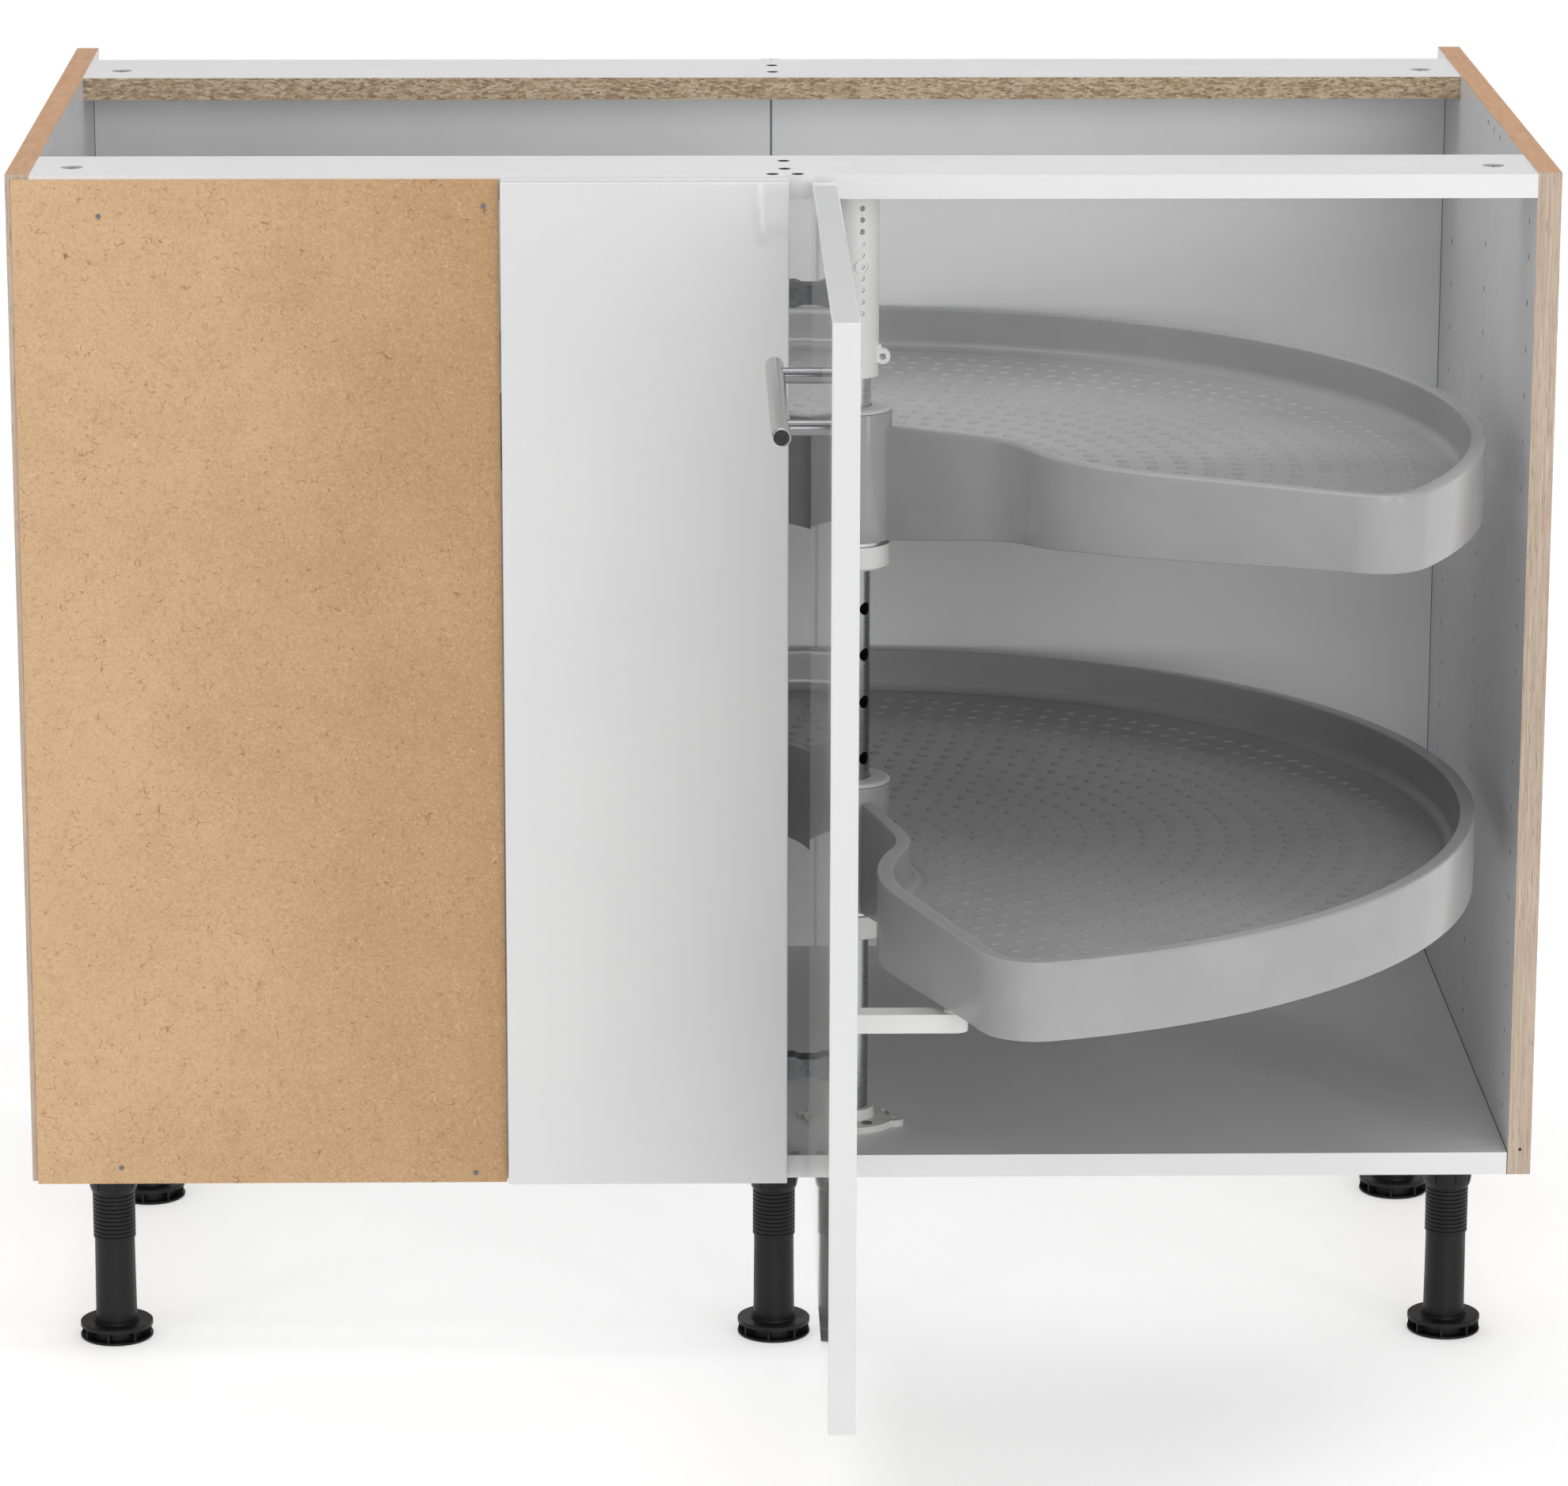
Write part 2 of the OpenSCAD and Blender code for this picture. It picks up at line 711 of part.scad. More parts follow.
module hinge_arms() {
    color("#5a5b5d") unit()
        for (z = hinge_z) difference() {
            intersection() {
                translate([0, 0, z - 10]) linear_extrude(20)
                    polygon([[-50, board_t + 7], [-6, board_t + 7],
                             [-6, board_t + 0.3], [0.6, board_t + 0.3],
                             [2.4, 14.4], [27, 14.4], [31, 12], [44, 12],
                             [46, 14], [46, 20], [42, 25], [34, 30],
                             [-50, 30]]);
                // wide where it leaves the stile, narrower towards the door
                translate([0, 60, z]) rotate([90, 0, 0]) linear_extrude(80)
                    polygon([[-60, -8.5], [7.6, -8.5], [11.8, -6.6], [60, -6.6],
                             [60, 6.6], [11.8, 6.6], [7.6, 8.5], [-60, 8.5]]);
            }
            // the arm is a channel, open towards the inside
            translate([0, 0, z - 5.2]) linear_extrude(10.4)
                polygon([[-60, board_t + 9.4], [-4, board_t + 9.4],
                         [-4, 17.8], [40, 17.8], [40, 40], [-60, 40]]);
        }
}

module hinge_screws() {
    color("silver") unit()
        for (z = hinge_z) {
            for (dz = [-16, 16]) translate([-28, 0, z + dz]) {
                translate([0, board_t + 2.25, 0]) ycyl(4.2, 2);
                translate([0, board_t - 10, 0]) ycyl(2.4, 12.2);
            }
            translate([-28, board_t + 9.45, z]) ycyl(3.8, 2.4);
        }
}

module handle_bar() {
    color("silver") unit() open_door()
        translate([handle_mid - handle_l / 2, shut_y - front_t - handle_out, handle_z])
            rotate([0, 90, 0]) rotate_extrude()
                polygon([[0, 0], [handle_d / 2 - 0.8, 0], [handle_d / 2, 0.8],
                         [handle_d / 2, handle_l - 0.8],
                         [handle_d / 2 - 0.8, handle_l], [0, handle_l]]);
}

module handle_posts() {
    color("silver") unit() open_door()
        for (x = handle_x) translate([x, 0, handle_z]) difference() {
            translate([0, shut_y - front_t - handle_out, 0])
                ycyl(5, handle_out - 0.02);
            translate([0, shut_y - front_t - handle_out, -50]) translate([-20, 0, 50])
                xcyl(handle_d / 2, 40);
            translate([0, shut_y - front_t - 15, 0]) ycyl(2, 16);
        }
}

// arm on the inside of the door; it is drawn at the open door
door_in = axis_x + (shut_y - axis_y);   // inner face of the open door

module driver_arm() {
    color("white") unit() difference() {
        union() {
            span([door_in + 4, arm_y - arm_w / 2, arm_z],
                 [arm_x, arm_y + arm_w / 2, arm_z + arm_t]);
            translate([arm_x, arm_y, arm_z]) cylinder(r = arm_w / 2, h = arm_t);
            // foot that is screwed to the door
            span([door_in, arm_y - 24, arm_z - 5], [door_in + 4, arm_y + 24, arm_z + 18]);
            span([door_in + 3, arm_y - arm_w / 2, arm_z + arm_t - 1],
                 [door_in + 7, arm_y + arm_w / 2, arm_z + 17]);
        }
        // the underside of the arm is hollow
        span([door_in + 8, arm_y - arm_w / 2 + 2, arm_z - 1],
             [arm_x - 8, arm_y + arm_w / 2 - 2, arm_z + arm_t - 2.4]);
        for (dy = [-17, 17]) translate([door_in - 1, arm_y + dy, arm_z + 6.5])
            xcyl(2.2, 8);
        translate([arm_x, arm_y, arm_z - 1]) cylinder(r = 2.5, h = arm_t + 2);
    }
}

module driver_pin() {
    color("white") unit() translate([arm_x, arm_y, 0]) {
        translate([0, 0, arm_z + 1]) cylinder(r = 2.48, h = arm_t - 0.9);
        translate([0, 0, arm_z + arm_t]) cylinder(r = 7.6, h = 2.2);
        translate([0, 0, arm_z + arm_t]) cylinder(r = pin_r, h = 24);
    }
}

module driver_screws() {
    color("silver") unit()
        for (dy = [-17, 17]) translate([door_in + 1, arm_y + dy, arm_z + 6.5])
            difference() {
                union() {
                    translate([3.05, 0, 0]) xcyl(3.8, 1.8);
                    xcyl(2.1, 3.1);
                }
                translate([4, -2.4, -0.4]) cube([2, 4.8, 0.8]);
                translate([4, -0.4, -2.4]) cube([2, 0.8, 4.8]);
            }
}

side_left();
side_right();
side_edges();
bottom_panel();
front_rail();
rear_rail();
back_left();
back_right();
back_joint();
blind_panel();
blind_pins();
filler_panel();
hinge_stile();
cam_fittings();
leg_sockets();
leg_tubes();
foot_1();
foot_2();
foot_3();
foot_4();
foot_5();
post_tube();
post_sleeve();
post_screw();
post_base();
base_screws();
lower_collar();
upper_collar();
hinge_plates();
hinge_arms();
hinge_screws();
upper_washer();
upper_tray();
upper_ribs();
upper_wall();
upper_hub();
upper_cap();
lower_washer();
lower_tray();
lower_ribs();
lower_wall();
lower_hub();
lower_cap();
lower_track();
door_board();
hinge_cups();
hinge_links();
cup_screws();
handle_bar();
handle_posts();
driver_arm();
driver_pin();
driver_screws();
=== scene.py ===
"""Corner carousel cabinet: materials, detailed trays, fronts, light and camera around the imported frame.
Metres, in the same frame as the part: +Z up, +Y from the front into the depth of the unit."""
import json
import math

import bpy
import bmesh
import numpy as np
from mathutils import Matrix, Vector


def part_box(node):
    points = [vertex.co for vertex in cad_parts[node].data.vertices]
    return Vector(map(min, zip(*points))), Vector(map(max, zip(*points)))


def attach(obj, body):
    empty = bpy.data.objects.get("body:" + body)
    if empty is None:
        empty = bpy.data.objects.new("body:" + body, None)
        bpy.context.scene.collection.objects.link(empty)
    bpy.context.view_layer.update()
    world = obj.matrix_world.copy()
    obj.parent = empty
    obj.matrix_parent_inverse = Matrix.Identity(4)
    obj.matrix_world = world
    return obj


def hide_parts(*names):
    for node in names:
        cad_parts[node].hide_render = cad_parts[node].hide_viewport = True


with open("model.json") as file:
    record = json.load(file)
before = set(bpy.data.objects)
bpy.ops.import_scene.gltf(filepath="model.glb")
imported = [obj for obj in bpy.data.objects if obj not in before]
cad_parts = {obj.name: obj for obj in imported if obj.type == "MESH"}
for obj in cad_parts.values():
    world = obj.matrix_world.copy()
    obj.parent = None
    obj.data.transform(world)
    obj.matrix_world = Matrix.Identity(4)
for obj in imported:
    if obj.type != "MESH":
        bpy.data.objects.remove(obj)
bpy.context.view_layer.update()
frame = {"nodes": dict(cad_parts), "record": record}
scene = bpy.context.scene
scene.view_settings.view_transform = "Standard"
scene.view_settings.look = "None"
scene.view_settings.exposure = 0.0
scene.view_settings.gamma = 1.0

OY = -33.2                 # the front edge of the carcass lies at y = OY (mm)
MM = 0.001

# ------------------------------------------------------------------ materials


class Mat:
    """A node material with a few short ways to add texture nodes."""

    def __init__(self, name, **sockets):
        self.m = bpy.data.materials.new(name)
        self.m.use_nodes = True
        self.nt = self.m.node_tree
        self.nt.nodes.clear()
        self.out = self.nt.nodes.new("ShaderNodeOutputMaterial")
        self.b = self.nt.nodes.new("ShaderNodeBsdfPrincipled")
        self.nt.links.new(self.b.outputs[0], self.out.inputs[0])
        self.tc = self.nt.nodes.new("ShaderNodeTexCoord")
        for k, v in sockets.items():
            self.b.inputs[k.replace("_", " ")].default_value = v

    def link(self, a, b):
        self.nt.links.new(a, b)

    def node(self, kind, **kw):
        n = self.nt.nodes.new(kind)
        for k, v in kw.items():
            setattr(n, k, v)
        return n

    def at(self, scale=(1, 1, 1), rot=(0, 0, 0), loc=(0, 0, 0)):
        n = self.node("ShaderNodeMapping")
        self.link(self.tc.outputs["Object"], n.inputs["Vector"])
        n.inputs["Scale"].default_value = scale
        n.inputs["Rotation"].default_value = rot
        n.inputs["Location"].default_value = loc
        return n.outputs[0]

    def noise(self, vec, scale, detail=4, rough=0.55, distort=0.0):
        n = self.node("ShaderNodeTexNoise")
        self.link(vec, n.inputs["Vector"])
        n.inputs["Scale"].default_value = scale
        n.inputs["Detail"].default_value = detail
        n.inputs["Roughness"].default_value = rough
        n.inputs["Distortion"].default_value = distort
        return n.outputs["Fac"]

    def noise_vec(self, vec, scale, detail=2):
        n = self.node("ShaderNodeTexNoise")
        self.link(vec, n.inputs["Vector"])
        n.inputs["Scale"].default_value = scale
        n.inputs["Detail"].default_value = detail
        return n.outputs["Color"]

    def voronoi(self, vec, scale, feature="F1", out="Distance", rand=1.0):
        n = self.node("ShaderNodeTexVoronoi", feature=feature)
        self.link(vec, n.inputs["Vector"])
        n.inputs["Scale"].default_value = scale
        n.inputs["Randomness"].default_value = rand
        return n.outputs[out]

    def ramp(self, fac, stops, interp="LINEAR"):
        n = self.node("ShaderNodeValToRGB")
        n.color_ramp.interpolation = interp
        els = n.color_ramp.elements
        while len(els) > 1:
            els.remove(els[-1])
        els[0].position = stops[0][0]
        els[0].color = col4(stops[0][1])
        for p, c in stops[1:]:
            e = els.new(p)
            e.color = col4(c)
        self.link(fac, n.inputs["Fac"])
        return n.outputs["Color"]

    def mix(self, a, b, fac, mode="MIX"):
        n = self.node("ShaderNodeMix", data_type="RGBA", blend_type=mode)
        for sock, v in ((n.inputs[0], fac), (n.inputs[6], a), (n.inputs[7], b)):
            if isinstance(v, bpy.types.NodeSocket):
                self.link(v, sock)
            elif sock == n.inputs[0]:
                sock.default_value = v
            else:
                sock.default_value = col4(v)
        return n.outputs[2]

    def math(self, op, a, b=None, c=None, clamp=False):
        n = self.node("ShaderNodeMath", operation=op, use_clamp=clamp)
        for i, v in enumerate((a, b, c)):
            if v is None:
                continue
            if isinstance(v, bpy.types.NodeSocket):
                self.link(v, n.inputs[i])
            else:
                n.inputs[i].default_value = v
        return n.outputs[0]

    def add_vec(self, vec, other, amount):
        s = self.node("ShaderNodeVectorMath", operation="SCALE")
        self.link(other, s.inputs[0])
        s.inputs["Scale"].default_value = amount
        a = self.node("ShaderNodeVectorMath", operation="ADD")
        self.link(vec, a.inputs[0])
        self.link(s.outputs[0], a.inputs[1])
        return a.outputs[0]

    def sep(self, vec):
        n = self.node("ShaderNodeSeparateXYZ")
        self.link(vec, n.inputs[0])
        return n.outputs

    def remap(self, fac, a, b, lo, hi):
        n = self.node("ShaderNodeMapRange")
        self.link(fac, n.inputs[0])
        for i, v in enumerate((a, b, lo, hi)):
            n.inputs[i + 1].default_value = v
        return n.outputs[0]

    def bump(self, height, strength, distance, normal=None):
        n = self.node("ShaderNodeBump")
        self.link(height, n.inputs["Height"])
        n.inputs["Strength"].default_value = strength
        n.inputs["Distance"].default_value = distance
        if normal is not None:
            self.link(normal, n.inputs["Normal"])
        return n.outputs[0]

    def color(self, sock):
        self.link(sock, self.b.inputs["Base Color"])

    def rough(self, sock):
        self.link(sock, self.b.inputs["Roughness"])

    def normal(self, sock):
        self.link(sock, self.b.inputs["Normal"])


def col4(c):
    if isinstance(c, (int, float)):
        c = (c, c, c)
    return (c[0], c[1], c[2], 1.0) if len(c) == 3 else tuple(c)


def lin(r, g, b):
    """Linear colour of an sRGB colour given as 0 to 255."""
    return tuple(((v / 255) / 12.92 if v / 255 <= 0.04045 else (((v / 255) + 0.055) / 1.055) ** 2.4)
                 for v in (r, g, b))


def shade(c, k):
    return tuple(min(1.0, v * k) for v in c)


def coated(name, base, rough=(0.30, 0.40), ior=1.5):
    """Melamine coated board: almost even white with a fine pearled surface."""
    m = Mat(name, IOR=ior)
    v = m.at()
    big = m.noise(v, 7, 3)
    fine = m.noise(v, 900, 3, 0.6)
    m.color(m.mix(shade(base, 0.975), shade(base, 1.02), m.remap(big, 0.3, 0.7, 0, 1)))
    m.rough(m.remap(m.noise(v, 45, 4), 0.3, 0.7, rough[0], rough[1]))
    m.normal(m.bump(fine, 0.12, 0.0002))
    return m


def white_board():
    m = coated("white_board", lin(226, 226, 226))
    x, y, z = m.sep(m.tc.outputs["Object"])[0:3]
    holes = m.math("MULTIPLY", between(m, z, 0.8133, 0.8287), between(m, y, (1.2 + OY) * MM, (72 + OY) * MM))
    near = m.math("MULTIPLY", holes, between(m, x, -0.03, 0.03))
    # open joint between the bottom panel and the sides
    joint = m.math("MULTIPLY", m.math("GREATER_THAN", m.math("ABSOLUTE", x), 0.5004), m.math("LESS_THAN", z, 0.2))
    # bored holes and the open joint painted near black: raw board plus painted shade
    raw_and_shaded_walls(m, m.b.inputs["Base Color"].links[0].from_socket, m.math("MAXIMUM", near, joint))
    return m.m


def back_board():
    """Coated inside, raw outside, with a fine dark joint at the sides."""
    m = coated("back_board", lin(240, 240, 241), (0.34, 0.46))
    x, y, z = m.sep(m.tc.outputs["Object"])[0:3]
    joint = m.math("GREATER_THAN", m.math("ABSOLUTE", x), 0.5006)
    raw_and_shaded_walls(m, m.b.inputs["Base Color"].links[0].from_socket, joint)
    outside = m.math("GREATER_THAN", y, (513 + 2.6 + OY) * MM)
    raw = m.mix(lin(188, 152, 112), lin(166, 130, 92), m.remap(m.noise(m.at(), 620, 4, 0.75), 0.4, 0.6, 0, 1))
    m.color(m.mix(m.b.inputs["Base Color"].links[0].from_socket, raw, outside))
    return m.m


CHIP = [(0.0, lin(124, 98, 72)), (0.2, lin(180, 156, 126)), (0.42, lin(200, 180, 152)),
        (0.62, lin(158, 132, 102)), (0.8, lin(214, 198, 172)), (1.0, lin(142, 114, 86))]


def chip_colour(m, v):
    """Chipboard: small layered flakes in tans and browns with tiny gaps."""
    w = m.add_vec(v, m.noise_vec(v, 220, 3), 0.0018)
    a = m.voronoi(w, 560, "F1", "Color")
    b = m.voronoi(w, 1150, "F1", "Color")
    ca = m.ramp(m.sep(a)[0], CHIP, "CONSTANT")
    cb = m.ramp(m.sep(b)[1], CHIP, "LINEAR")
    c = m.mix(ca, cb, 0.5)
    gaps = m.remap(m.noise(w, 760, 4, 0.7), 0.32, 0.41, 1, 0)
    return m.mix(c, lin(74, 52, 36), m.math("MULTIPLY", gaps, 0.85))


def raw_and_shaded_walls(m, old, holes):
    """Walls of bored holes and open joints painted near black: partly the raw board's own brown, partly painted
    shade inside the recess.
    """
    # painted shade: far darker than bare chipboard, standing for the shade inside holes and gaps
    raw = m.mix(lin(30, 24, 18), lin(52, 42, 32), m.remap(m.noise(m.at(), 700, 3), 0.35, 0.65, 0, 1))
    m.color(m.mix(old, raw, holes))


def between(m, v, a, b):
    return m.math("MULTIPLY", m.math("GREATER_THAN", v, a), m.math("LESS_THAN", v, b))


def side_board():
    """White coated faces, with a warm brown coat on the top, bottom and rear edges."""
    m = coated("side_board", lin(228, 228, 229))
    x, y, z = m.sep(m.tc.outputs["Object"])[0:3]
    top = m.math("GREATER_THAN", z, 0.8297)
    low = m.math("LESS_THAN", z, 0.1303)
    rear = m.math("GREATER_THAN", y, (568 + OY - 0.3) * MM)
    edge = m.math("MAXIMUM", m.math("MAXIMUM", top, low), rear)
    v = m.at()
    old = m.b.inputs["Base Color"].links[0].from_socket
    streak = m.noise(m.at((260, 30, 260)), 1.0, 5, 0.7)
    spot = m.noise(v, 420, 4, 0.65)
    orange = m.mix(lin(190, 138, 94), lin(208, 160, 116), m.remap(streak, 0.3, 0.7, 0, 1))
    orange = m.mix(orange, lin(160, 108, 70), m.remap(spot, 0.58, 0.75, 0, 0.5))
    m.color(m.mix(old, orange, edge))
    old = m.b.inputs["Base Color"].links[0].from_socket
    inner = between(m, m.math("ABSOLUTE", x), 0.5014, 0.5163)
    body = m.math("MULTIPLY", between(m, z, 0.1306, 0.8294), between(m, y, OY * MM, (530 + OY) * MM))
    # shelf holes painted near black: raw board plus painted shade
    raw_and_shaded_walls(m, old, m.math("MULTIPLY", inner, body))
    return m.m


def edge_band():
    """Light oak banding with upright grain."""
    m = Mat("edge_band", IOR=1.48)
    g = m.add_vec(m.at((1, 1, 0.02)), m.noise_vec(m.at((40, 40, 5)), 1.0), 0.004)
    a = m.noise(g, 900, 6, 0.7)
    b = m.noise(m.at((700, 700, 22)), 1.0, 5, 0.6)
    c = m.ramp(a, [(0.25, lin(150, 127, 108)), (0.45, lin(184, 164, 145)), (0.6, lin(201, 184, 167)), (0.8, lin(214, 199, 184))])
    pore = m.remap(m.noise(m.at((1500, 1500, 60)), 1.0, 2), 0.60, 0.68, 0, 0.65)
    m.color(m.mix(m.mix(c, lin(176, 155, 136), m.remap(b, 0.35, 0.65, 0, 0.6)), lin(122, 100, 84), pore))
    m.rough(m.remap(a, 0.3, 0.7, 0.55, 0.42))
    m.normal(m.bump(a, 0.25, 0.0003))
    return m.m


def rear_rail_board():
    """White coated rail whose front edge is raw chipboard."""
    m = coated("rear_rail_board", lin(226, 226, 226))
    x, y, z = m.sep(m.tc.outputs["Object"])[0:3]
    raw = m.math("LESS_THAN", y, (426 + OY + 0.3) * MM)
    v = m.at((0.42, 1, 1.3))
    old = m.b.inputs["Base Color"].links[0].from_socket
    m.color(m.mix(old, chip_colour(m, v), raw))
    holes = m.math("MULTIPLY", between(m, z, 0.8133, 0.8287), between(m, y, (440 + OY) * MM, (500 + OY) * MM))
    near = m.math("MULTIPLY", holes, between(m, x, -0.03, 0.03))
    # holes painted near black: raw board plus painted shade
    raw_and_shaded_walls(m, m.b.inputs["Base Color"].links[0].from_socket, near)
    rr = m.b.inputs["Roughness"].links[0].from_socket
    m.rough(m.math("MAXIMUM", rr, m.math("MULTIPLY", raw, 0.85)))
    n = m.bump(m.noise(v, 620, 4, 0.7), 0.45, 0.0005)
    flat = m.b.inputs["Normal"].links[0].from_socket
    mixn = m.mix(flat, n, raw)
    m.normal(mixn)
    return m.m


def hardboard():
    """Raw hardboard: warm tan, cloudy, with short dark fibres and specks, and painted shade that darkens it from
    left to right.
    """
    m = Mat("hardboard", IOR=1.45)
    v = m.at()
    cloud = m.noise(v, 9, 5, 0.6)
    mid = m.noise(v, 60, 5, 0.7)
    fine = m.noise(v, 620, 4, 0.75)
    x, y, z = m.sep(m.tc.outputs["Object"])[0:3]
    # painted shade: lighter at the left edge and darker to the right, for light falling from the left, mixed with
    # the board's own cloudy tone
    painted_shade_and_cloud = m.math("ADD", m.remap(x, -0.5, -0.2, 1.1, -0.1), m.remap(cloud, 0.3, 0.7, -0.35, 0.35), clamp=True)
    c = m.mix(lin(182, 146, 106), lin(202, 168, 129), painted_shade_and_cloud)
    c = m.mix(c, lin(178, 142, 101), m.remap(mid, 0.52, 0.75, 0, 0.45))
    c = m.mix(c, lin(216, 187, 151), m.remap(fine, 0.5, 0.7, 0, 0.5))
    c = m.mix(c, lin(162, 124, 85), m.remap(fine, 0.48, 0.30, 0, 0.5))
    tiny = m.noise(m.at((1.0, 1.0, 0.7), loc=(0.4, 0.9, 0.1)), 1500, 2, 0.6)
    c = m.mix(c, lin(140, 102, 66), m.remap(tiny, 0.60, 0.72, 0, 0.4))
    # short fibres: broken cell borders in bent space
    bent = m.add_vec(v, m.noise_vec(v, 70, 2), 0.012)
    hair = m.remap(m.voronoi(bent, 85, "DISTANCE_TO_EDGE"), 0.0, 0.028, 1, 0)
    some = m.remap(m.noise(v, 105, 2), 0.60, 0.66, 0, 1)
    c = m.mix(c, lin(104, 72, 44), m.math("MULTIPLY", m.math("MULTIPLY", hair, some), 0.75))
    bent2 = m.add_vec(m.at(loc=(0.3, 0.1, 0.2)), m.noise_vec(v, 110, 2), 0.009)
    hair2 = m.remap(m.voronoi(bent2, 140, "DISTANCE_TO_EDGE"), 0.0, 0.03, 1, 0)
    some2 = m.remap(m.noise(m.at(loc=(0.7, 0.2, 0.5)), 150, 2), 0.6, 0.67, 0, 1)
    c = m.mix(c, lin(226, 200, 166), m.math("MULTIPLY", m.math("MULTIPLY", hair2, some2), 0.6))
    speck = m.remap(m.voronoi(v, 210), 0.05, 0.12, 1, 0)
    rare = m.remap(m.noise(v, 33, 1), 0.60, 0.64, 0, 1)
    c = m.mix(c, lin(84, 56, 34), m.math("MULTIPLY", m.math("MULTIPLY", speck, rare), 0.8))
    # more short dark fibres, denser and finer
    bent3 = m.add_vec(m.at(loc=(0.15, 0.6, 0.35)), m.noise_vec(v, 170, 2), 0.007)
    hair3 = m.remap(m.voronoi(bent3, 190, "DISTANCE_TO_EDGE"), 0.0, 0.045, 1, 0)
    some3 = m.remap(m.noise(m.at(loc=(0.2, 0.5, 0.8)), 230, 2), 0.57, 0.63, 0, 1)
    c = m.mix(c, lin(122, 86, 54), m.math("MULTIPLY", m.math("MULTIPLY", hair3, some3), 0.7))
    c = m.mix(c, lin(206, 206, 206), m.math("GREATER_THAN", y, (OY - 0.3) * MM))
    m.color(c)
    m.rough(m.remap(fine, 0.3, 0.7, 0.62, 0.78))
    m.normal(m.bump(fine, 0.22, 0.0003, m.bump(mid, 0.15, 0.0006)))
    return m.m


def gloss_front():
    """White high gloss front with a clear coat and a trace of dust."""
    m = Mat("gloss_front", IOR=1.45, Coat_Weight=0.35, Coat_Roughness=0.02, Coat_IOR=1.5)
    v = m.at()
    m.color(m.mix(lin(214, 214, 215), lin(218, 218, 218), m.remap(m.noise(v, 5, 3), 0.3, 0.7, 0, 1)))
    dust = m.remap(m.noise(v, 480, 3, 0.8), 0.66, 0.76, 0, 0.22)
    m.rough(m.math("ADD", m.remap(m.noise(v, 22, 4), 0.3, 0.7, 0.03, 0.06), dust))
    m.normal(m.bump(m.noise(v, 260, 2), 0.015, 0.0003))
    return m.m


def steel(name, base, rough=(0.24, 0.38), stretch=(900, 12, 900), aniso=0.35):
    m = Mat(name, Metallic=1.0, Anisotropic=aniso)
    g = m.noise(m.at(stretch), 1.0, 4, 0.65)
    v = m.at()
    m.color(m.mix(shade(base, 0.93), shade(base, 1.05), m.remap(g, 0.3, 0.7, 0, 1)))
    m.rough(m.math("ADD", m.remap(g, 0.3, 0.7, rough[0], rough[1]), m.remap(m.noise(v, 60, 3), 0.5, 0.8, 0, 0.05)))
    m.normal(m.bump(g, 0.05, 0.0001))
    return m.m


def zinc(name, base, rough=(0.26, 0.42)):
    m = Mat(name, Metallic=1.0)
    v = m.at()
    s = m.voronoi(m.add_vec(v, m.noise_vec(v, 160), 0.002), 420, "F1", "Color")
    g = m.sep(s)[0]
    m.color(m.mix(shade(base, 0.88), shade(base, 1.07), g))
    m.rough(m.remap(m.noise(v, 260, 4), 0.3, 0.7, rough[0], rough[1]))
    m.normal(m.bump(m.noise(v, 800, 3), 0.08, 0.0001))
    return m.m


def plastic(name, base, rough=(0.34, 0.46), grain=1100, strength=0.10, coat=0.0, ior=1.49):
    m = Mat(name, IOR=ior)
    if coat:
        m.b.inputs["Coat Weight"].default_value = coat
        m.b.inputs["Coat Roughness"].default_value = 0.25
    v = m.at()
    m.color(m.mix(shade(base, 0.94), shade(base, 1.05), m.remap(m.noise(v, 11, 4), 0.3, 0.7, 0, 1)))
    wear = m.remap(m.noise(v, 130, 5, 0.7), 0.62, 0.8, 0, 0.08)
    m.rough(m.math("ADD", m.remap(m.noise(v, 38, 3), 0.3, 0.7, rough[0], rough[1]), wear))
    m.normal(m.bump(m.noise(v, grain, 3, 0.6), strength, 0.00018))
    return m.m


def grey_strip():
    m = Mat("grey_strip", IOR=1.45)
    v = m.at()
    m.color(m.mix(lin(128, 129, 131), lin(142, 143, 145), m.remap(m.noise(v, 300, 3), 0.3, 0.7, 0, 1)))
    m.rough(m.remap(m.noise(v, 90, 3), 0.3, 0.7, 0.5, 0.62))
    m.normal(m.bump(m.noise(v, 1200, 2), 0.1, 0.0002))
    return m.m


def floor_mat():
    m = Mat("floor_paper", IOR=1.4)
    v = m.at()
    m.color(m.mix(0.86, 0.90, m.remap(m.noise(v, 3, 4), 0.3, 0.7, 0, 1)))
    m.b.inputs["Emission Color"].default_value = (1, 1, 1, 1)
    x, y, z = m.sep(v)[0:3]
    far = m.math("SQRT", m.math("ADD", m.math("MULTIPLY", x, x), m.math("MULTIPLY", y, y)))
    m.link(m.remap(far, 1.0, 4.0, 0.36, 0.58), m.b.inputs["Emission Strength"])
    m.rough(m.remap(m.noise(v, 18, 4), 0.3, 0.7, 0.72, 0.82))
    m.normal(m.bump(m.noise(v, 240, 3), 0.05, 0.0005))
    return m.m


